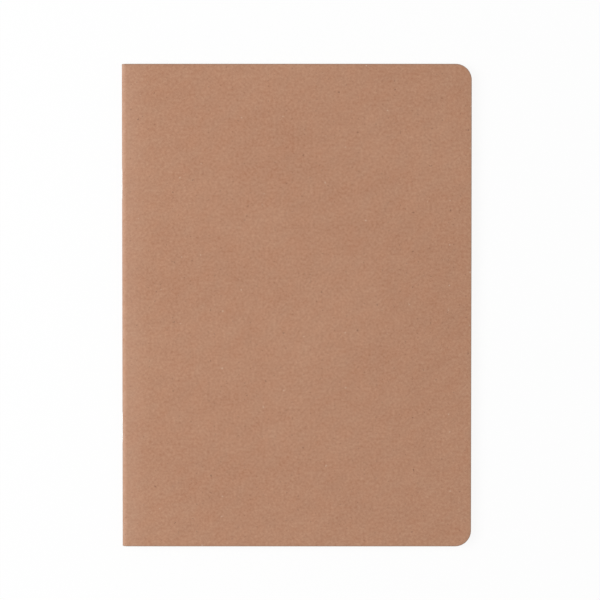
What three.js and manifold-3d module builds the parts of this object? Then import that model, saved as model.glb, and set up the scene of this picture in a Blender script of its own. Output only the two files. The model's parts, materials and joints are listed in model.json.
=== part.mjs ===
// A saddle-stitched notebook, closed and lying on its back cover.
// Folded sheets nest inside one folded kraft card, and two wire staples driven through the spine
// hold them. Spine on the left (-X), fore edge on the right, head at +Y, front cover up.
// The paper and the card are divided where they bend, along the spine, so that the covers and
// the leaves can turn about one shared hinge line, the middle of the nested folds.
import * as THREE from 'three';
import { mergeVertices } from 'three/addons/utils/BufferGeometryUtils.js';
import Module from 'manifold-3d';

// Driving dimensions in millimetres
const HEIGHT = 210;
const WIDTH = 152;
const CORNER_RADIUS = 7;
const CARD = 0.35;
const LEAF = 0.09;
const AIR = 0.01;
const SHEET_COUNT = 16;
const WIRE = 0.4;
const STAPLE_LENGTH = 12;
const CLINCH = 4.6;
const CROWN_PROUD = 0.15;
const STAPLE_INSET = 52;

// Clearances: of the wire in its bed and its bends, of a leg in its hole, and of what turns
const WIRE_CLEARANCE = 0.02;
const HOLE_CLEARANCE = 0.05;
const HINGE_CLEARANCE = 0.05;

// Facets of a quarter of a fold, of a rounded corner, of a wire bend and round a wire
const FOLD_FACETS = 5;
const CORNER_FACETS = 4;
const BEND_FACETS = 2;
const WIRE_SIDES = 8;
const HINGE_SIDES = 96;

// Radii about the hinge line, from the wire in the centre spread out to the card
const coreRadius = WIRE / 2 + WIRE_CLEARANCE;
const pitch = LEAF + AIR;
const cardInner = coreRadius + SHEET_COUNT * pitch;
const spineRadius = cardInner + CARD;
const swingRadius = spineRadius + HINGE_CLEARANCE;

// From the hinge line to the fore edge, and the slight lean that closes the front half on the back
const reach = WIDTH - spineRadius;
const lean = Math.atan(2 * coreRadius / reach);

const kraft = new THREE.MeshStandardMaterial({ color: 0xb6896e, roughness: 0.9, metalness: 0 });
const paper = new THREE.MeshStandardMaterial({ color: 0xf1ead9, roughness: 0.85, metalness: 0 });
const steel = new THREE.MeshStandardMaterial({ color: 0xc4c6c8, roughness: 0.3, metalness: 1 });

const wasm = await Module();
wasm.setup();

// A closed geometry as a solid that can be cut
function solidOf(geometry) {
  const bare = new THREE.BufferGeometry();
  bare.setAttribute('position', geometry.getAttribute('position'));
  bare.setIndex(geometry.getIndex());
  const merged = mergeVertices(bare, 1e-5);
  return new wasm.Manifold(new wasm.Mesh({
    numProp: 3,
    vertProperties: merged.getAttribute('position').array,
    triVerts: merged.getIndex().array,
  }));
}

// The geometry of a piece after each cutter is taken from it
function cut(geometry, cutters) {
  let solid = solidOf(geometry);
  for (const cutter of cutters) {
    solid = solid.subtract(solidOf(cutter));
  }
  const mesh = solid.getMesh();
  const result = new THREE.BufferGeometry();
  result.setAttribute('position', new THREE.BufferAttribute(mesh.vertProperties, 3));
  result.setIndex(new THREE.BufferAttribute(mesh.triVerts, 1));
  result.computeVertexNormals();
  return result;
}

// A profile drawn across the spine, in X and Z about the hinge line, carried from head to tail
function alongSpine(profile) {
  const geometry = new THREE.ExtrudeGeometry(profile, {
    depth: HEIGHT,
    bevelEnabled: false,
    curveSegments: FOLD_FACETS,
  });
  return geometry.rotateX(Math.PI / 2).translate(0, HEIGHT / 2, 0);
}

// A flat panel from left to the fore edge: square at the spine, round at the two outer corners
function panel(left, middle, thickness) {
  const outline = new THREE.Shape();
  outline.moveTo(left, -HEIGHT / 2);
  outline.lineTo(reach - CORNER_RADIUS, -HEIGHT / 2);
  outline.absarc(reach - CORNER_RADIUS, CORNER_RADIUS - HEIGHT / 2, CORNER_RADIUS,
    -Math.PI / 2, 0, false);
  outline.lineTo(reach, HEIGHT / 2 - CORNER_RADIUS);
  outline.absarc(reach - CORNER_RADIUS, HEIGHT / 2 - CORNER_RADIUS, CORNER_RADIUS,
    0, Math.PI / 2, false);
  outline.lineTo(left, HEIGHT / 2);
  outline.closePath();
  const geometry = new THREE.ExtrudeGeometry(outline, {
    depth: thickness,
    bevelEnabled: false,
    curveSegments: CORNER_FACETS,
  });
  return geometry.translate(0, 0, middle - thickness / 2);
}

// How far from the hinge line, along X, a circle about it stands at a height above it
function chord(radius, height) {
  return Math.sqrt(radius * radius - height * height);
}

// Half of the cover card, its root edge hollowed to turn round the spine
function coverPanel(side) {
  const middle = side * (cardInner + CARD / 2);
  const root = chord(swingRadius, spineRadius);
  const swing = new THREE.CylinderGeometry(
    swingRadius / Math.cos(Math.PI / HINGE_SIDES),
    swingRadius / Math.cos(Math.PI / HINGE_SIDES),
    HEIGHT + CARD, HINGE_SIDES);
  return cut(panel(root, middle, CARD), [swing]);
}

// A leaf, from just outside the swing of the spine to the fore edge
function leafPanel(middle) {
  const left = chord(swingRadius, Math.abs(middle) - LEAF / 2);
  return panel(left, middle, LEAF);
}

// The four legs' holes, each from outside the spine to the middle of the centre fold
function legHoles() {
  const holes = [];
  for (const middle of stapleMiddles) {
    for (const side of [-1, 1]) {
      const length = spineRadius + CROWN_PROUD;
      const hole = new THREE.CylinderGeometry(
        WIRE / 2 + HOLE_CLEARANCE, WIRE / 2 + HOLE_CLEARANCE, length, WIRE_SIDES);
      holes.push(hole.rotateZ(Math.PI / 2).translate(-length / 2, middle + side * legY, 0));
    }
  }
  return holes;
}

// The beds that the crowns are pressed into, open to the outside of the spine
function crownBeds() {
  const floor = crownX + WIRE / 2 + WIRE_CLEARANCE;
  const depth = floor + spineRadius + CROWN_PROUD;
  return stapleMiddles.map((middle) => {
    const bed = new THREE.BoxGeometry(
      depth, STAPLE_LENGTH + 2 * HOLE_CLEARANCE, WIRE + 2 * WIRE_CLEARANCE);
    return bed.translate(floor - depth / 2, middle, 0);
  });
}

// The fold of one sheet: a half turn about the hinge line with two short straight ends
function foldGeometry(middle) {
  const outer = middle + LEAF / 2;
  const inner = middle - LEAF / 2;
  const end = chord(spineRadius, outer);
  const profile = new THREE.Shape();
  profile.moveTo(end, outer);
  profile.absarc(0, 0, outer, Math.PI / 2, 3 * Math.PI / 2, false);
  profile.lineTo(end, -outer);
  profile.lineTo(end, -inner);
  profile.absarc(0, 0, inner, 3 * Math.PI / 2, Math.PI / 2, true);
  profile.lineTo(end, inner);
  profile.closePath();
  return cut(alongSpine(profile), legHoles());
}

// The card round the spine: its outside runs on as an arc past the crease, where the card of
// the two covers takes over, and its inside lies flat on the outermost sheet there
function spineCardGeometry() {
  const lip = Math.acos(cardInner / spineRadius);
  const profile = new THREE.Shape();
  profile.absarc(0, 0, spineRadius, Math.PI / 2 - lip, Math.PI / 2, false);
  profile.absarc(0, 0, spineRadius, Math.PI / 2, 3 * Math.PI / 2, false);
  profile.absarc(0, 0, spineRadius, 3 * Math.PI / 2, 3 * Math.PI / 2 + lip, false);
  profile.absarc(0, 0, cardInner, 3 * Math.PI / 2, Math.PI / 2, true);
  profile.closePath();
  return cut(alongSpine(profile), [...legHoles(), ...crownBeds()]);
}

// A staple of round wire: crown outside the spine, legs through it, both ends clinched inwards
function stapleGeometry() {
  const bend = WIRE / 2 + WIRE_CLEARANCE;
  const path = new THREE.Path();
  path.moveTo(0, legY - CLINCH);
  path.lineTo(0, legY - bend);
  path.absarc(-bend, legY - bend, bend, 0, Math.PI / 2, false);
  path.absarc(crownX + bend, legY - bend, bend, Math.PI / 2, Math.PI, false);
  path.absarc(crownX + bend, bend - legY, bend, Math.PI, 3 * Math.PI / 2, false);
  path.absarc(-bend, bend - legY, bend, 3 * Math.PI / 2, 2 * Math.PI, false);
  path.lineTo(0, CLINCH - legY);
  return wireAlong(path.getPoints(BEND_FACETS));
}

// A round wire along points in the XY plane, with a ring of corners at each and closed ends
function wireAlong(points) {
  const positions = [];
  const triangles = [];
  points.forEach((point, step) => {
    const before = points[Math.max(step - 1, 0)];
    const after = points[Math.min(step + 1, points.length - 1)];
    const along = after.clone().sub(before).normalize();
    for (let side = 0; side < WIRE_SIDES; side++) {
      const turn = 2 * Math.PI * side / WIRE_SIDES;
      const across = Math.cos(turn) * WIRE / 2;
      positions.push(
        point.x - along.y * across, point.y + along.x * across, Math.sin(turn) * WIRE / 2);
    }
  });
  for (let step = 0; step + 1 < points.length; step++) {
    for (let side = 0; side < WIRE_SIDES; side++) {
      const a = step * WIRE_SIDES + side;
      const b = step * WIRE_SIDES + (side + 1) % WIRE_SIDES;
      triangles.push(a, b, b + WIRE_SIDES, a, b + WIRE_SIDES, a + WIRE_SIDES);
    }
  }
  const last = (points.length - 1) * WIRE_SIDES;
  for (let side = 1; side + 1 < WIRE_SIDES; side++) {
    triangles.push(0, side + 1, side, last, last + side, last + side + 1);
  }
  const geometry = new THREE.BufferGeometry();
  geometry.setAttribute('position', new THREE.Float32BufferAttribute(positions, 3));
  geometry.setIndex(triangles);
  geometry.computeVertexNormals();
  return geometry;
}

// Where the staples are along the spine, and the middles of the crown and of the legs
const stapleMiddles = [HEIGHT / 2 - STAPLE_INSET, STAPLE_INSET - HEIGHT / 2];
const crownX = WIRE / 2 - spineRadius - CROWN_PROUD;
const legY = (STAPLE_LENGTH - WIRE) / 2;

function add(group, name, geometry, material) {
  const mesh = new THREE.Mesh(geometry, material);
  mesh.name = name;
  group.add(mesh);
  return mesh;
}

// The hinge line stands at spineRadius above the table. The front half leans about it.
const notebook = new THREE.Group();
const hinge = new THREE.Group();
hinge.position.set(spineRadius + (CROWN_PROUD - WIDTH) / 2, 0, spineRadius);
notebook.add(hinge);
const frontHalf = new THREE.Group();
frontHalf.rotation.y = lean;
hinge.add(frontHalf);

add(hinge, 'cover_back', coverPanel(-1), kraft);
add(hinge, 'cover_spine', spineCardGeometry(), kraft);
add(frontHalf, 'cover_front', coverPanel(1), kraft);

// Sheet 1 lies against the card, and the last one holds the centre spread
for (let sheet = 1; sheet <= SHEET_COUNT; sheet++) {
  const label = `sheet_${String(sheet).padStart(2, '0')}`;
  const middle = coreRadius + (SHEET_COUNT - sheet + 0.5) * pitch;
  add(hinge, `${label}_fold`, foldGeometry(middle), paper);
  add(frontHalf, `${label}_front_leaf`, leafPanel(middle), paper);
  add(hinge, `${label}_back_leaf`, leafPanel(-middle), paper);
}

add(hinge, 'staple_head', stapleGeometry(), steel).position.y = stapleMiddles[0];
add(hinge, 'staple_tail', stapleGeometry(), steel).position.y = stapleMiddles[1];

export default notebook;
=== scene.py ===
import json
import math

import bpy
import numpy as np
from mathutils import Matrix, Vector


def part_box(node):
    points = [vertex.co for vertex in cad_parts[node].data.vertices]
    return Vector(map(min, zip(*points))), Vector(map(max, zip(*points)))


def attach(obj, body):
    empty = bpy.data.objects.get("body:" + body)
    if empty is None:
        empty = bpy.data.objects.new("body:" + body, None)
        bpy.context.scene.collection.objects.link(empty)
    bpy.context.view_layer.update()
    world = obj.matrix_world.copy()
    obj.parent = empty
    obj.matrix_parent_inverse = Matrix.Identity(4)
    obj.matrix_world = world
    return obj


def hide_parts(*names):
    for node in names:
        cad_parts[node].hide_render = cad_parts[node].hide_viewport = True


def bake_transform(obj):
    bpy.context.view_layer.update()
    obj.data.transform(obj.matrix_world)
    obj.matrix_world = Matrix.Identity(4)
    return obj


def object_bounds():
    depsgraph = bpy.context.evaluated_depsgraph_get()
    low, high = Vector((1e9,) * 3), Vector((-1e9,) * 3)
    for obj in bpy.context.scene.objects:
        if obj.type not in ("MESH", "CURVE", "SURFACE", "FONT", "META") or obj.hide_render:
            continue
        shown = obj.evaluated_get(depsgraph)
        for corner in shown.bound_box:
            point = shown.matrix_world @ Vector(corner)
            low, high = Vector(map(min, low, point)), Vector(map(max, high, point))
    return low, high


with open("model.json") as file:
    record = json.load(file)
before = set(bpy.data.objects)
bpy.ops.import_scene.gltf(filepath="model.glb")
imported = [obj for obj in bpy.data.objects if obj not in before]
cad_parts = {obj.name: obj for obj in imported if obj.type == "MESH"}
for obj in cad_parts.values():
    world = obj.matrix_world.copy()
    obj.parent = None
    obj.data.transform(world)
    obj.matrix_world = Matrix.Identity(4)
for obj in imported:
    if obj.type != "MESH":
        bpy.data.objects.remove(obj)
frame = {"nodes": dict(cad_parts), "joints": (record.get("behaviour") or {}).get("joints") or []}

cad_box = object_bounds()


# The studio: a pale table top in soft light from the left, seen from straight above. It glows
# white to the camera and in reflections, but for a share of matt white that holds the shadow.
# It is cut out under the closed notebook, which hides that, so that the underside gets light.
MM = 0.001
CORNER_RADIUS = 7 * MM
CUT_OUT_INSET = 0.3 * MM
TABLE_DROP = 0.02 * MM
TABLE_SCALE = 60
TABLE_CORNER_STEPS = 12
MATT_WHITE = (0.97, 0.97, 0.97, 1)
PLAIN_WHITE = (1, 1, 1, 1)
SHADOW_SHARE = 0.10
SKY_LEVEL = 0.50
LAMP_PLACE = (-0.85, 0.12, 1.05)
LAMP_SIZE = 0.9
LAMP_SHARE = 0.49
PHOTO_PIXELS = 600
PIXEL_SIZE = 0.435 * MM
PIXELS_RIGHT_OF_NOTEBOOK = 3.5
PIXELS_ABOVE_NOTEBOOK = 5.65
CAMERA_DISTANCE = 1.2
CAMERA_TILT = math.radians(1.6)

scene = bpy.context.scene
scene.view_settings.view_transform = "Standard"


def node(tree, kind, settings, inputs):
    """Adds one node with its settings, and gives each input a value or another node's output."""
    made = tree.nodes.new("ShaderNode" + kind)
    for name, value in settings.items():
        setattr(made, name, value)
    for key, value in inputs.items():
        if isinstance(value, bpy.types.NodeSocket):
            tree.links.new(value, made.inputs[key])
        else:
            made.inputs[key].default_value = value
    return made


def seen_white(tree):
    """1 for rays from the camera, from a reflection or through glass, and 0 for light itself."""
    path = tree.nodes.new("ShaderNodeLightPath")
    either = node(tree, "Math", {"operation": "MAXIMUM"},
                  {0: path.outputs["Is Camera Ray"], 1: path.outputs["Is Glossy Ray"]})
    return node(tree, "Math", {"operation": "MAXIMUM"},
                {0: either.outputs[0], 1: path.outputs["Is Transmission Ray"]}).outputs[0]


def table_material():
    """Matt white for light, mixed with a plain white glow of strength 1 for what looks at it."""
    material = bpy.data.materials.new("table_top")
    material.use_nodes = True
    tree = material.node_tree
    tree.nodes.clear()
    matt = node(tree, "BsdfDiffuse", {}, {"Color": MATT_WHITE})
    glow = node(tree, "Emission", {}, {"Color": PLAIN_WHITE, "Strength": 1.0})
    share = node(tree, "Math", {"operation": "MULTIPLY"},
                 {0: seen_white(tree), 1: 1 - SHADOW_SHARE})
    surface = node(tree, "MixShader", {},
                   {0: share.outputs[0], 1: matt.outputs[0], 2: glow.outputs[0]})
    node(tree, "OutputMaterial", {}, {"Surface": surface.outputs[0]})
    return material


def make_table():
    """A flat ring TABLE_DROP under the notebook, from the notebook's outline drawn in by
    CUT_OUT_INSET out to the same outline TABLE_SCALE times as large. The outline runs clockwise
    from the head of the spine, with a quarter circle at each corner of the fore edge."""
    low, high = cad_box
    turn = np.linspace(0, np.pi / 2, TABLE_CORNER_STEPS + 1)
    radius = CORNER_RADIUS - CUT_OUT_INSET
    corner_x = high.x - CORNER_RADIUS + radius * np.sin(turn)
    corner_y = high.y - CORNER_RADIUS + radius * np.cos(turn)
    spine_x = low.x + CUT_OUT_INSET
    x = np.concatenate([[spine_x], corner_x, corner_x[::-1], [spine_x]])
    y = np.concatenate([corner_y[:1], corner_y, -corner_y[::-1], -corner_y[:1]])
    inner = np.column_stack([x, y, np.full(len(x), -TABLE_DROP)])
    points = np.concatenate([inner, inner * (TABLE_SCALE, TABLE_SCALE, 1)])
    here = np.arange(len(x))
    beside = np.roll(here, -1)
    faces = np.stack([here, beside, beside + len(x), here + len(x)], axis=-1)
    mesh = bpy.data.meshes.new("table_top")
    mesh.from_pydata(points.tolist(), [], faces.tolist())
    mesh.materials.append(table_material())
    table = bpy.data.objects.new("table_top", mesh)
    scene.collection.objects.link(table)


def light_studio():
    """An even white sky, and a square lamp whose power gives LAMP_SHARE of a surface's colour:
    power = share * pi squared * distance squared / cosine of its angle to the vertical."""
    sky = bpy.data.worlds.new("studio_sky")
    scene.world = sky
    sky.use_nodes = True
    tree = sky.node_tree
    level = node(tree, "MapRange", {},
                 {"Value": seen_white(tree), "To Min": SKY_LEVEL, "To Max": 1.0})
    background = tree.nodes["Background"]
    background.inputs["Color"].default_value = PLAIN_WHITE
    tree.links.new(level.outputs[0], background.inputs["Strength"])
    place = np.array(LAMP_PLACE)
    distance = float(np.linalg.norm(place))
    lamp_data = bpy.data.lights.new("soft_lamp", "AREA")
    lamp_data.shape = "SQUARE"
    lamp_data.size = LAMP_SIZE
    lamp_data.energy = LAMP_SHARE * math.pi ** 2 * distance ** 3 / place[2]
    lamp = bpy.data.objects.new("soft_lamp", lamp_data)
    lamp.location = LAMP_PLACE
    lamp.rotation_mode = "QUATERNION"
    lamp.rotation_quaternion = lamp.location.to_track_quat("Z", "Y")
    scene.collection.objects.link(lamp)


def make_camera():
    """Looks straight down, but for CAMERA_TILT, at the point of the cover in the photo's middle.
    The lens makes the photo's frame as wide as its pixels are at the cover."""
    low, high = cad_box
    data = bpy.data.cameras.new("camera")
    data.lens = data.sensor_width * CAMERA_DISTANCE / (PHOTO_PIXELS * PIXEL_SIZE)
    camera = bpy.data.objects.new("camera", data)
    camera.location = (
        (low.x + high.x) / 2 + PIXELS_RIGHT_OF_NOTEBOOK * PIXEL_SIZE,
        (low.y + high.y) / 2 + PIXELS_ABOVE_NOTEBOOK * PIXEL_SIZE
        + CAMERA_DISTANCE * math.sin(CAMERA_TILT),
        high.z + CAMERA_DISTANCE * math.cos(CAMERA_TILT),
    )
    camera.rotation_euler = (-CAMERA_TILT, 0, 0)
    scene.collection.objects.link(camera)
    scene.camera = camera


make_camera()
light_studio()
make_table()


# The cover: one sheet of soft kraft card, folded round the back of the sheets, square at the
# spine and cut round at the four fore-edge corners. It is uncoated, full of short fibres, with a
# few dark and pale flecks. Its colour is painted lighter on and beside the fold, partly for wear
# and partly as painted highlight, and darker and greyer along the cut edges as painted shade.
EDGE_ROUNDING = 0.2 * MM
BLUNT_EDGE = 0.45
FOLD_NIP = 0.06 * MM
BLOCK_SPRING = 0.42 * MM
SPRING_START = 6 * MM
SPRING_LENGTH = 80 * MM
SHOULDER_RISE = 0.35 * MM
SHOULDER_LENGTH = 6 * MM
WAVE_ALONG = 0.16
WAVE_SLANTWISE = 0.09
WAVE_OUT = 0.10
CROWN_SLOPE = 0.6 * MM
DENT_MARGIN = 0.45 * MM
CARD_ROW_GAP = 2.4 * MM
CARD_CROWN_ROWS = 9
CARD_CORNER_STEPS = 15
CARD_FLAT_COLUMNS = 44
CARD_FOLD_COLUMNS = 53
SHEET_SHARP_ANGLE = math.radians(50)
NOISE_ROUGHNESS = 0.6

cover_hinge = next(joint for joint in frame["joints"] if joint["name"] == "cover_hinge")
hinge_x, _, hinge_z = cover_hinge["pos_m"]
back_low, back_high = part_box("cover_back")
front_low, front_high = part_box("cover_front")
crown_low, crown_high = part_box("staple_head")
half_height = back_high.y
reach = back_high.x - hinge_x
card = back_high.z - back_low.z
card_radius = hinge_z - card / 2
lean = math.atan((front_high.z - front_low.z - card) / reach)
wire = crown_high.z - crown_low.z
crown_middle = (crown_high.y + crown_low.y) / 2
crown_half = (crown_high.y - crown_low.y) / 2
crown_depth = hinge_z - (hinge_x - crown_low.x - wire)


def hairpin(along, middle_radius, radius):
    """X and Z of a half turn about the hinge line that runs straight on at both ends.
    along is measured on the line of middle_radius from the middle of the turn, front positive.
    The angle is half a turn less along / middle_radius, kept between its two ends, and what is
    left of along goes straight on there. The front end is lean further, so it leans down."""
    angle = np.clip(np.pi - along / middle_radius, np.pi / 2 - lean, 3 * np.pi / 2)
    straight = along - middle_radius * (np.pi - angle)
    return (hinge_x + radius * np.cos(angle) + straight * np.sin(angle),
            hinge_z + radius * np.sin(angle) - straight * np.cos(angle))


def outline(out):
    """Half the height of the outline at a distance out from the hinge line: half_height, less
    the corner's own radius - square root of (radius squared - depth into the corner squared)."""
    depth = np.clip(out - (reach - CORNER_RADIUS), 0, CORNER_RADIUS)
    return half_height - CORNER_RADIUS + np.sqrt(CORNER_RADIUS ** 2 - depth ** 2)


def distance_to_cut(out, y):
    """How far a point lies inside the cut outline: along a ray from the corner's centre in the
    corner itself, and from the nearer straight edge everywhere else."""
    into_x = out - (reach - CORNER_RADIUS)
    into_y = np.abs(y) - (half_height - CORNER_RADIUS)
    round_part = CORNER_RADIUS - np.hypot(into_x, into_y)
    square_part = np.minimum(reach - out, half_height - np.abs(y))
    return np.where((into_x > 0) & (into_y > 0), round_part, square_part)


def corner_series(steps):
    """Distances from 0 to CORNER_RADIUS that crowd towards the end: radius times the sine of
    even steps of a right angle."""
    return CORNER_RADIUS * np.sin(np.linspace(0, np.pi / 2, steps + 1))


def row_places(gap, corner_steps, crown_rows):
    """Y of the rows from tail to head: even ones about a gap apart, the corner series at both
    ends, and crown_rows more that crowd round each end of each staple's crown. All are rounded
    to a ten-thousandth of a millimetre, so that two that fall together become one."""
    straight = half_height - CORNER_RADIUS
    even = np.linspace(-straight, straight, int(round(2 * straight / gap)) + 1)
    ends = straight + corner_series(corner_steps)[1:]
    crowd = np.linspace(-CROWN_SLOPE, CROWN_SLOPE, crown_rows)
    crowns = [side * (crown_middle + end * crown_half) + crowd
              for side in (-1, 1) for end in (-1, 1)]
    return np.unique(np.round(np.concatenate([-ends, even, ends, *crowns]), 7))


def spring(past, radius, y):
    """How far the top of the closed block stands up of itself, at a y and a distance past the end
    of a turn of some radius. Its shoulder at the spine is SHOULDER_RISE * (1 - e to the power
    -run / SHOULDER_LENGTH), where run is the distance past, eased in over the last half radius
    of the turn. A smooth step from SPRING_START over SPRING_LENGTH is added, and the sum is
    times three slow waves, along the spine, slantwise and out from it."""
    ease = radius / 2
    ahead = np.maximum(past + ease, 0)
    run = np.where(ahead < ease, ahead ** 2 / (2 * ease), ahead - ease / 2)
    shoulder = SHOULDER_RISE * (1 - np.exp(-run / SHOULDER_LENGTH))
    step = np.clip((past - SPRING_START) / SPRING_LENGTH, 0, 1)
    waves = (1 + WAVE_ALONG * np.sin(y / (31 * MM) + 1.1)
             + WAVE_SLANTWISE * np.sin(y / (17 * MM) - past / (24 * MM))
             + WAVE_OUT * np.cos(past / (45 * MM) + 0.6))
    return (BLOCK_SPRING * step * step * (3 - 2 * step) + shoulder) * waves


def shell(name, outer, inner, along, y, to_cut, material):
    """A thin closed sheet from two grids of points, its outer and its inner face, joined round
    their border. The place along the sheet, the y and the depth are kept for patterns to
    follow, and so is the distance to the cut edge. Faces point outwards: they are turned round
    where the volume, the sum of a . (b x c) over the triangles, comes out below zero."""
    rows, columns = outer.shape[:2]
    count = rows * columns
    upper = np.arange(count).reshape(rows, columns)

    def quads(index):
        corners = (index[:-1, :-1], index[:-1, 1:], index[1:, 1:], index[1:, :-1])
        return np.stack(corners, axis=-1).reshape(-1, 4)

    border = np.concatenate([upper[0, :-1], upper[:-1, -1], upper[-1, :0:-1], upper[:0:-1, 0]])
    onward = np.roll(border, -1)
    rim = np.stack([border, border + count, onward + count, onward], axis=-1)
    faces = np.concatenate([quads(upper), quads(upper)[:, ::-1] + count, rim])
    points = np.concatenate([outer.reshape(-1, 3), inner.reshape(-1, 3)])
    a, b, c, d = (points[faces[:, corner]] for corner in range(4))
    if np.sum(a * np.cross(b, c)) + np.sum(a * np.cross(c, d)) < 0:
        faces = faces[:, ::-1]
    mesh = bpy.data.meshes.new(name)
    mesh.vertices.add(len(points))
    mesh.vertices.foreach_set("co", points.astype(np.float32).ravel())
    mesh.loops.add(faces.size)
    mesh.loops.foreach_set("vertex_index", faces.astype(np.int32).ravel())
    mesh.polygons.add(len(faces))
    mesh.polygons.foreach_set("loop_start", np.arange(0, faces.size, 4, dtype=np.int32))
    mesh.update(calc_edges=True)
    face_place = np.stack([along.ravel(), y.ravel(), np.zeros(count)], axis=-1)
    back_place = face_place - (0, 0, np.linalg.norm(outer - inner, axis=-1).max())
    place = mesh.attributes.new("place", "FLOAT_VECTOR", "POINT")
    place.data.foreach_set("vector", np.concatenate([face_place, back_place]).ravel())
    edge = mesh.attributes.new("to_cut", "FLOAT", "POINT")
    edge.data.foreach_set("value", np.tile(to_cut.ravel(), 2))
    mesh.shade_smooth()
    mesh.set_sharp_from_angle(angle=SHEET_SHARP_ANGLE)
    mesh.materials.append(material)
    made = bpy.data.objects.new(name, mesh)
    scene.collection.objects.link(made)
    return made


def attribute(tree, name, output):
    """The value that a piece keeps at each of its points under a name."""
    return node(tree, "Attribute", {"attribute_name": name}, {}).outputs[output]


def maths(tree, operation, first, second=0.0):
    """The result of one operation on two numbers or sockets."""
    return node(tree, "Math", {"operation": operation}, {0: first, 1: second}).outputs[0]


def fall(tree, value, full, none):
    """1 where a value is at full, 0 where it is at none, and a smooth step between them."""
    return node(tree, "MapRange", {"interpolation_type": "SMOOTHSTEP"},
                {"Value": value, "From Min": full, "From Max": none,
                 "To Min": 1.0, "To Max": 0.0}).outputs[0]


def mixed(tree, share, first, second):
    """The second colour laid over the first by a share."""
    return node(tree, "MixRGB", {"blend_type": "MIX"}, {0: share, 1: first, 2: second}).outputs[0]


def mottling(tree, place, layers):
    """A number about 1: 1 plus, for each layer (grain across and along in metres, turn, detail,
    amount), the amount times cloudy noise of that grain that is turned in the sheet's plane."""
    total = 1.0
    for across, along, turn, detail, amount in layers:
        turned = node(tree, "Mapping", {"vector_type": "TEXTURE"},
                      {"Vector": place, "Rotation": (0, 0, turn),
                       "Scale": (along, across, across)})
        noise = node(tree, "TexNoise", {},
                     {"Vector": turned.outputs[0], "Scale": 1.0, "Detail": detail,
                      "Roughness": NOISE_ROUGHNESS})
        centred = maths(tree, "SUBTRACT", noise.outputs[0], 0.5)
        total = maths(tree, "ADD", total, maths(tree, "MULTIPLY", centred, amount))
    return total


def flecks(tree, place, cell, share, size):
    """1 on flecks about size across: one cell in each 1 / share holds one, at its own point.
    Their outline is roughened by moving the place a little with noise, and the depth moves the
    cells aside, so that the two faces of a sheet don't show the same ones."""
    core, rim = 0.35 * size, 0.6 * size
    roughening = (3 * size, 3 * size, 0)
    aside_x, aside_y = 311.0, 173.0
    ragged = node(tree, "TexNoise", {}, {"Vector": place, "Scale": 0.8 / size, "Detail": 2.0})
    centred = node(tree, "VectorMath", {"operation": "SUBTRACT"},
                   {0: ragged.outputs[1], 1: (0.5, 0.5, 0.5)})
    moved = node(tree, "VectorMath", {"operation": "MULTIPLY_ADD"},
                 {0: centred.outputs[0], 1: roughening, 2: place})
    depth = node(tree, "SeparateXYZ", {}, {0: place}).outputs[2]
    aside = node(tree, "CombineXYZ", {}, {0: maths(tree, "MULTIPLY", depth, aside_x),
                                          1: maths(tree, "MULTIPLY", depth, aside_y)})
    shifted = node(tree, "VectorMath", {"operation": "ADD"},
                   {0: moved.outputs[0], 1: aside.outputs[0]})
    cells = node(tree, "TexVoronoi", {"voronoi_dimensions": "2D", "feature": "F1"},
                 {"Vector": shifted.outputs[0], "Scale": 1 / cell})
    chance = node(tree, "SeparateColor", {}, {0: cells.outputs["Color"]}).outputs[0]
    chosen = maths(tree, "GREATER_THAN", chance, 1 - share)
    spot = fall(tree, cells.outputs["Distance"], core / cell, rim / cell)
    return maths(tree, "MULTIPLY", chosen, spot)


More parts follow.
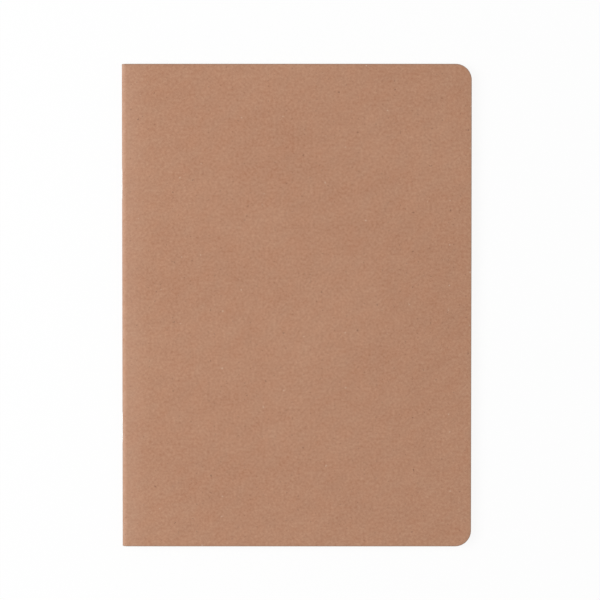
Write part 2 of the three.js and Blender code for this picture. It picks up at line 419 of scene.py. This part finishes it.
def kraft_card():
    """Bare kraft card: its colour, plus the mottling of its fibres, which looks as strong in red
    as in green and blue, plus a slow drift between pinker and yellower patches. On the round of
    the fold it is lighter, in worn patches and as painted highlight, and a wider band beside the
    fold carries a fainter painted highlight. Along the cut edges it is greyer and darker, as
    painted shade. It has sparse dark and pale flecks. The fibres stand up as a fine tooth, and
    make the dull surface a little more or less rough."""
    colour = (0.4745, 0.2485, 0.152)
    fibre_tone = (0.440, 0.363, 0.275)
    drift_tone = (0.026, -0.013, -0.018)
    # Lighter tone of the fold: wear, and painted highlight where light falls on its round.
    rubbed_and_highlight = (0.610, 0.400, 0.300, 1)
    # Darker, greyer tone of painted shade along the cut edges.
    cut_edge_shade = (0.305, 0.205, 0.150, 1)
    dark_fleck = (0.165, 0.085, 0.052, 1)
    pale_fleck = (0.680, 0.520, 0.400, 1)
    rub_and_highlight_core = 1.32 * MM
    rub_and_highlight_width = 3.3 * MM
    worn_patch = 3 * MM
    worn_fully, worn_none = 0.80, 0.25
    shoulder_highlight_width = 14 * MM
    edge_shade_width = 0.45 * MM
    wide_edge_shade_width = 1.6 * MM
    roughness = 0.86
    tooth = 0.05 * MM
    material = bpy.data.materials.new("kraft_card")
    material.use_nodes = True
    tree = material.node_tree
    finish = tree.nodes["Principled BSDF"]
    place = attribute(tree, "place", "Vector")
    fibres = mottling(tree, place, (
        (0.28 * MM, 2.2 * MM, 0.5, 2.0, 0.24),
        (0.28 * MM, 2.2 * MM, -0.9, 2.0, 0.24),
        (1.15 * MM, 1.15 * MM, 0.0, 2.0, 0.50),
        (7 * MM, 11 * MM, 0.3, 2.0, 0.15),
        (45 * MM, 60 * MM, 0.0, 1.0, 0.13),
    ))
    ground = node(tree, "VectorMath", {"operation": "MULTIPLY_ADD"},
                  {0: fibre_tone, 1: maths(tree, "SUBTRACT", fibres, 1.0), 2: colour}).outputs[0]
    drift = mottling(tree, place, ((6 * MM, 9 * MM, 0.9, 2.0, 1.0),))
    ground = node(tree, "VectorMath", {"operation": "MULTIPLY_ADD"},
                  {0: drift_tone, 1: maths(tree, "SUBTRACT", drift, 1.0), 2: ground}).outputs[0]
    along = maths(tree, "ABSOLUTE", node(tree, "SeparateXYZ", {}, {0: place}).outputs[0])
    # Painted highlight and wear on the round of the fold, lighter in worn patches.
    worn = node(tree, "TexNoise", {}, {"Vector": place, "Scale": 1 / worn_patch, "Detail": 3.0})
    rub_and_highlight = maths(tree, "MULTIPLY", fall(tree, along, rub_and_highlight_core, rub_and_highlight_width),
                fall(tree, worn.outputs[0], worn_fully, worn_none))
    # Painted highlight: a faint lightening beside the fold, where the card tilts towards the
    # light.
    shoulder = fall(tree, along, rub_and_highlight_width, shoulder_highlight_width)
    to_cut = attribute(tree, "to_cut", "Fac")
    # Painted shade: greyer and darker towards the cut edges, faint over a wide band, strong over
    # a narrow one.
    wide_edge_shade = fall(tree, to_cut, 0.0, wide_edge_shade_width)
    edge = fall(tree, to_cut, 0.0, edge_shade_width)
    # Lays on the painted highlight and wear of the fold and the painted shade of the cut edges.
    for share, strength, tone in (
        (shoulder, 0.125, rubbed_and_highlight),
        (rub_and_highlight, 0.52, rubbed_and_highlight),
        (wide_edge_shade, 0.12, cut_edge_shade),
        (edge, 0.75, cut_edge_shade),
    ):
        ground = mixed(tree, maths(tree, "MULTIPLY", share, strength), ground, tone)
    for cell, chance, size, strength, tone in (
        (8 * MM, 0.10, 0.62 * MM, 0.60, dark_fleck),
        (2.6 * MM, 0.20, 0.42 * MM, 0.42, dark_fleck),
        (9 * MM, 0.12, 0.55 * MM, 0.55, pale_fleck),
    ):
        share = maths(tree, "MULTIPLY", flecks(tree, place, cell, chance, size), strength)
        ground = mixed(tree, share, ground, tone)
    tree.links.new(ground, finish.inputs["Base Color"])
    uneven = maths(tree, "MULTIPLY", fibres, roughness)
    tree.links.new(uneven, finish.inputs["Roughness"])
    finish.inputs["Specular IOR Level"].default_value = 0.35
    bump = node(tree, "Bump", {}, {"Strength": 0.5, "Distance": tooth, "Height": fibres})
    tree.links.new(bump.outputs[0], finish.inputs["Normal"])
    return material


def crown_dent(along, y):
    """How deep the card is pressed in round a staple's crown: the crown's own depth under the
    wire, rising in a smooth step over CROWN_SLOPE, which ends DENT_MARGIN past the wire's sides
    and CROWN_SLOPE past the crown's ends."""
    sides = np.clip((wire / 2 + DENT_MARGIN - np.abs(along)) / CROWN_SLOPE, 0, 1)
    past = np.abs(np.abs(y) - crown_middle) - crown_half
    ends = np.clip((CROWN_SLOPE - past) / CROWN_SLOPE, 0, 1)
    smooth_sides = sides * sides * (3 - 2 * sides)
    return crown_depth * smooth_sides * ends * ends * (3 - 2 * ends)


def cover_strip(name, along, material):
    """One strip of the folded card, a column of points for each place along its middle line. The
    card stands half its thickness to each side of that line, and its cut edges are rounded: the
    half thickness there follows a quarter of an ellipse up from a blunt edge. The knife nips the
    ends of the fold in by FOLD_NIP times the squared sine of the angle round it."""
    past = np.maximum(along - card_radius * (np.pi / 2 + lean), -along - card_radius * np.pi / 2)
    out = np.maximum(past, 0)
    rows = row_places(CARD_ROW_GAP, CARD_CORNER_STEPS, CARD_CROWN_ROWS)
    y = rows[:, None] * outline(out) / half_height
    along, past, out = (np.broadcast_to(values, y.shape) for values in (along, past, out))
    to_cut = distance_to_cut(out, y)
    rounding = 1 - np.clip(to_cut / EDGE_ROUNDING, 0, 1)
    half = card / 2 * (BLUNT_EDGE + (1 - BLUNT_EDGE) * np.sqrt(1 - rounding ** 2))
    lift = np.where(along > 0, spring(past, card_radius, y), 0)
    round_fold = np.clip(along / card_radius + np.pi / 2, 0, np.pi)
    y = y * (1 - FOLD_NIP * np.sin(round_fold) ** 2 / half_height)
    faces = []
    for offset in (half - crown_dent(along, y), -half):
        x, z = hairpin(along, card_radius, card_radius + offset)
        faces.append(np.stack([x, y, z + lift], axis=-1))
    return shell(name, *faces, along, y, to_cut, material)


def make_cover():
    """The back of the card, which stays on the table, and the rest of it: the fold and the front,
    in one piece. They meet at the crease on the underside."""
    card_material = kraft_card()
    flat = np.linspace(0, reach - CORNER_RADIUS, CARD_FLAT_COLUMNS)
    corner = reach - CORNER_RADIUS + corner_series(CARD_CORNER_STEPS)
    out = np.concatenate([flat, corner[1:]])
    back_end = card_radius * np.pi / 2
    front_end = card_radius * (np.pi / 2 + lean)
    back = cover_strip("cover_back_half", -(back_end + out[::-1]), card_material)
    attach(back, "back_cover")
    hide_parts("cover_back")
    turn = np.linspace(-back_end, front_end, CARD_FOLD_COLUMNS)[:-1]
    front = cover_strip("cover_fold_and_front", np.concatenate([turn, front_end + out]),
                        card_material)
    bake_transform(front)
    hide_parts("cover_spine", "cover_front")


make_cover()


# The sheets: sixteen sheets of cream writing paper, each folded once and nested in the next, so
# that they make thirty-two bare leaves. They are trimmed flush with the cover after stitching.
# The closed block springs up a little towards the fore edge, with uneven gaps between leaves.
CLOSING_LENGTH = 9 * MM
LEAF_WAVE = 0.012
KNIFE_WANDER = 0.07 * MM
NARROWEST_GAP, WIDEST_GAP = 0.3, 1.0
LOOSE_GAP = 2.2
LOOSE_CHANCE = 0.15
TIP_LAG = 0.25
ROOT_LAG = 0.09
PAPER_ROW_GAP = 5 * MM
PAPER_CROWN_ROWS = 1
PAPER_CORNER_STEPS = 9
LEAF_FLAT_COLUMNS = 30
HALF_FOLD_COLUMNS = 9

sheet_count = sum(name.endswith("_fold") for name in frame["nodes"])
first_low, first_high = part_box("sheet_01_back_leaf")
second_low, second_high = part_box("sheet_02_back_leaf")
leaf = first_high.z - first_low.z
pitch = second_low.z - first_low.z
first_radius = hinge_z - (first_low.z + first_high.z) / 2
centre_gap = 2 * (first_radius - (sheet_count - 1) * pitch) - leaf
draw = np.random.default_rng(16)


def writing_paper():
    """Smooth uncoated cream paper: a pale colour with faint clouds in it, a little darker and
    yellower at the trimmed edge, and a very fine tooth."""
    colour = (0.880, 0.822, 0.695)
    trimmed = (0.835, 0.755, 0.610, 1)
    trimmed_width = 0.25 * MM
    trimmed_strength = 0.8
    tooth = 0.02 * MM
    material = bpy.data.materials.new("page_paper")
    material.use_nodes = True
    tree = material.node_tree
    finish = tree.nodes["Principled BSDF"]
    place = attribute(tree, "place", "Vector")
    clouds = mottling(tree, place, (
        (0.12 * MM, 0.5 * MM, 0.2, 2.0, 0.03),
        (1.6 * MM, 2.4 * MM, 0.6, 2.0, 0.035),
        (30 * MM, 40 * MM, 0.0, 1.0, 0.03),
    ))
    ground = node(tree, "VectorMath", {"operation": "SCALE"},
                  {0: colour, "Scale": clouds}).outputs[0]
    edge = fall(tree, attribute(tree, "to_cut", "Fac"), 0.0, trimmed_width)
    ground = mixed(tree, maths(tree, "MULTIPLY", edge, trimmed_strength), ground, trimmed)
    tree.links.new(ground, finish.inputs["Base Color"])
    finish.inputs["Roughness"].default_value = 0.82
    finish.inputs["Specular IOR Level"].default_value = 0.3
    bump = node(tree, "Bump", {}, {"Strength": 0.3, "Distance": tooth, "Height": clouds})
    tree.links.new(bump.outputs[0], finish.inputs["Normal"])
    return material


def closing(out):
    """How much of the centre gap, which the wire holds open at the fold, is taken up by air
    between all the leaves further out: a smooth step over CLOSING_LENGTH from the wire on, times
    what the lean of the front half leaves of the gap there."""
    step = np.clip((out - wire) / CLOSING_LENGTH, 0, 1)
    return centre_gap * (1 - out / reach) * step * step * (3 - 2 * step)


def paper_strip(name, radius, along, share, gaps, trim, material):
    """One strip of a folded sheet, a column of points for each place along its middle line. It
    takes its share of the block's spring, and of the closing of the centre gap, for which the
    back leaves rise and the front ones sink. gaps is the height of a slow wave of its own, which
    keeps it from lying quite parallel to its neighbours, and starts at a point of its own. trim
    is how far the knife left its fore edge in."""
    past = np.maximum(along - radius * (np.pi / 2 + lean), -along - radius * np.pi / 2)
    out = np.maximum(past, 0)
    rows = row_places(PAPER_ROW_GAP, PAPER_CORNER_STEPS, PAPER_CROWN_ROWS)
    y = rows[:, None] * outline(out) / half_height
    along, past, out = (np.broadcast_to(values, y.shape) for values in (along, past, out))
    apart = 1 + gaps * np.sin(y / (23 * MM) + 40 * gaps + out / (31 * MM))
    lift = share * spring(past, radius, y) * apart + (share - (along > 0)) * closing(out)
    shorter = trim * out / reach
    faces = []
    for offset in (leaf / 2, -leaf / 2):
        x, z = hairpin(along, radius, radius + offset)
        faces.append(np.stack([x - shorter, y, z + lift], axis=-1))
    return shell(name, *faces, along, y, distance_to_cut(out, y), material)


def arched(share_at_end):
    """The step t at which a blend's weight, 3 t squared - 2 t cubed, is a share just under 1:
    1 less the square root of a third of what is missing, close enough for a gentle arch."""
    return 1 - math.sqrt((1 - share_at_end) / 3)


def make_sheet(number, back_share, front_share, paper):
    """One folded sheet as four strips that meet edge to edge: its back leaf, the two halves of
    its fold and its front leaf. A start and an end for each strip are worked out from TIP_LAG,
    what the tip of a back leaf lacks of the whole turn, and ROOT_LAG, what the root of the
    innermost front leaf lacks of it, but nothing uses them."""
    radius = first_radius - (number - 1) * pitch
    tag = f"{number:02d}"
    bodies = (f"back_leaf_{tag}", f"front_leaf_{tag}")
    flat = np.linspace(0, reach - CORNER_RADIUS, LEAF_FLAT_COLUMNS)
    corner = reach - CORNER_RADIUS + corner_series(PAPER_CORNER_STEPS)
    out = np.concatenate([flat, corner[1:]])
    back_end = radius * np.pi / 2
    front_end = radius * (np.pi / 2 + lean)
    tip_step = arched(1 - TIP_LAG)
    root_step = arched(1 - ROOT_LAG * (number / sheet_count) ** 2)
    slope = (root_step - 0.5) / radius
    ridge = hinge_x - radius
    strips = (
        ("leaf_back_", -(back_end + out[::-1]), f"sheet_{tag}_back_leaf", back_share,
         ("back_cover", bodies[0]), hinge_x + reach / (1 - tip_step), hinge_x),
        ("fold_back_", np.linspace(-back_end, 0, HALF_FOLD_COLUMNS), f"sheet_{tag}_fold",
         back_share, bodies, hinge_x, hinge_x - 2 * radius),
        ("fold_front_", np.linspace(0, front_end, HALF_FOLD_COLUMNS), f"sheet_{tag}_fold",
         front_share, bodies, ridge - 0.5 / slope, ridge + 0.5 / slope),
        ("leaf_front_", front_end + out, f"sheet_{tag}_front_leaf", front_share,
         bodies, hinge_x + reach - reach / (1 - root_step), hinge_x + reach),
    )
    gaps, trim = draw.uniform(-LEAF_WAVE, LEAF_WAVE), draw.uniform(0, KNIFE_WANDER)
    for name, along, replaced, share, between, start, end in strips:
        strip = paper_strip(name + tag, radius, along, share, gaps, trim, paper)
        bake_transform(strip)
        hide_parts(replaced)


def make_sheets():
    """The leaves' shares of the spring grow from the back cover to the front one, in steps of
    uneven size from NARROWEST_GAP to WIDEST_GAP, with LOOSE_GAP more on a few by chance."""
    paper = writing_paper()
    gap_count = 2 * sheet_count + 1
    steps = draw.uniform(NARROWEST_GAP, WIDEST_GAP, gap_count)
    steps += LOOSE_GAP * (draw.random(gap_count) > 1 - LOOSE_CHANCE)
    shares = np.cumsum(steps) / steps.sum()
    for number in range(1, sheet_count + 1):
        make_sheet(number, shares[number - 1], shares[2 * sheet_count - number], paper)


make_sheets()


# The staples: two pieces of round galvanised steel wire, driven through the fold from outside.
# The crown lies pressed into the card on the spine, the two legs go through all the folds, and
# the ends are clinched towards each other in the centre spread.
CLINCHED_END = 4.6 * MM
WIRE_BEND = 0.22 * MM
WIRE_SIDES = 20
BEND_STEPS = 8
END_POINTS = 11
CROWN_POINTS = 13
CUT_END_LENGTH = 0.06 * MM
CUT_END_SHARE = 0.72
WIRE_SHARP_ANGLE = math.radians(40)


def staple_path(middle):
    """Points in the plane z = hinge_z: end, bend, leg, bend, crown, and the same mirrored. Each
    bend is a quarter circle of WIRE_BEND about its own centre, in even steps of the angle."""
    crown_x = crown_low.x + wire / 2
    leg_y = crown_half - wire / 2
    quarter = np.linspace(0, np.pi / 2, BEND_STEPS + 1)
    inner = np.stack([hinge_x - WIRE_BEND + WIRE_BEND * np.cos(quarter),
                      leg_y - WIRE_BEND + WIRE_BEND * np.sin(quarter)], axis=-1)
    outer = np.stack([crown_x + WIRE_BEND - WIRE_BEND * np.sin(quarter),
                      leg_y - WIRE_BEND + WIRE_BEND * np.cos(quarter)], axis=-1)
    end_y = np.linspace(leg_y - CLINCHED_END, leg_y - WIRE_BEND, END_POINTS + 1)[:-1]
    end = np.stack([np.full_like(end_y, hinge_x), end_y], axis=-1)
    crown_y = np.linspace(leg_y - WIRE_BEND, 0, CROWN_POINTS + 1)[1:]
    crown = np.stack([np.full_like(crown_y, crown_x), crown_y], axis=-1)
    half = np.concatenate([end, inner, outer, crown])
    whole = np.concatenate([half, half[-2::-1] * (1, -1)])
    return np.column_stack([whole[:, 0], whole[:, 1] + middle, np.full(len(whole), hinge_z)])


def make_wire(name, path, material):
    """A round tube along a flat path: at each point a ring of corners, cos times the path's own
    sideways direction plus sin times up, all times the wire's radius. Each cut end runs on for
    CUT_END_LENGTH, drawn in to CUT_END_SHARE of the radius, and is closed by a fan of triangles
    round its middle."""
    ahead = np.gradient(path, axis=0)
    ahead /= np.linalg.norm(ahead, axis=1)[:, None]
    first, last = path[0], path[-1]
    path = np.concatenate([[first - ahead[0] * CUT_END_LENGTH], path,
                           [last + ahead[-1] * CUT_END_LENGTH]])
    ahead = np.concatenate([ahead[:1], ahead, ahead[-1:]])
    size = np.full(len(path), wire / 2)
    size[[0, -1]] = CUT_END_SHARE * wire / 2
    up = np.array([0.0, 0.0, 1.0])
    sideways = np.cross(ahead, up)
    turn = np.linspace(0, 2 * np.pi, WIRE_SIDES, endpoint=False)
    ring = (np.cos(turn)[None, :, None] * sideways[:, None, :]
            + np.sin(turn)[None, :, None] * up) * size[:, None, None]
    points = np.concatenate([(path[:, None, :] + ring).reshape(-1, 3), path[:1], path[-1:]])
    index = np.arange(len(path) * WIRE_SIDES).reshape(len(path), WIRE_SIDES)
    beside = np.roll(index, -1, axis=1)
    sides = np.stack([index[:-1], index[1:], beside[1:], beside[:-1]], axis=-1).reshape(-1, 4)
    start, end = (np.full(WIRE_SIDES, len(points) - back) for back in (2, 1))
    caps = np.concatenate([np.stack([start, index[0], beside[0]], axis=-1),
                           np.stack([end, beside[-1], index[-1]], axis=-1)])
    mesh = bpy.data.meshes.new(name)
    mesh.from_pydata(points.tolist(), [], sides.tolist() + caps.tolist())
    mesh.shade_smooth()
    mesh.set_sharp_from_angle(angle=WIRE_SHARP_ANGLE)
    mesh.materials.append(material)
    made = bpy.data.objects.new(name, mesh)
    scene.collection.objects.link(made)
    return made


def staple_wire():
    """Galvanised steel: a bright soft metal whose zinc coat is cloudy, drawn in fine lines along
    the wire, which lie along Y on the crown and the ends."""
    zinc = (0.56, 0.57, 0.58)
    roughness = 0.33
    material = bpy.data.materials.new("staple_wire")
    material.use_nodes = True
    tree = material.node_tree
    finish = tree.nodes["Principled BSDF"]
    place = tree.nodes.new("ShaderNodeTexCoord").outputs["Object"]
    clouds = mottling(tree, place, (
        (0.03 * MM, 1.2 * MM, math.pi / 2, 2.0, 0.25),
        (0.5 * MM, 0.9 * MM, math.pi / 2, 2.0, 0.25),
    ))
    ground = node(tree, "VectorMath", {"operation": "SCALE"},
                  {0: zinc, "Scale": clouds}).outputs[0]
    tree.links.new(ground, finish.inputs["Base Color"])
    uneven = maths(tree, "MULTIPLY", clouds, roughness)
    tree.links.new(uneven, finish.inputs["Roughness"])
    finish.inputs["Metallic"].default_value = 1.0
    return material


def make_staples():
    """The same staple at both places along the spine, which roll with the spine."""
    steel = staple_wire()
    for name, middle in (("staple_head", crown_middle), ("staple_tail", -crown_middle)):
        staple = make_wire(name + "_wire", staple_path(middle), steel)
        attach(staple, "spine")
        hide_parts(name)


make_staples()
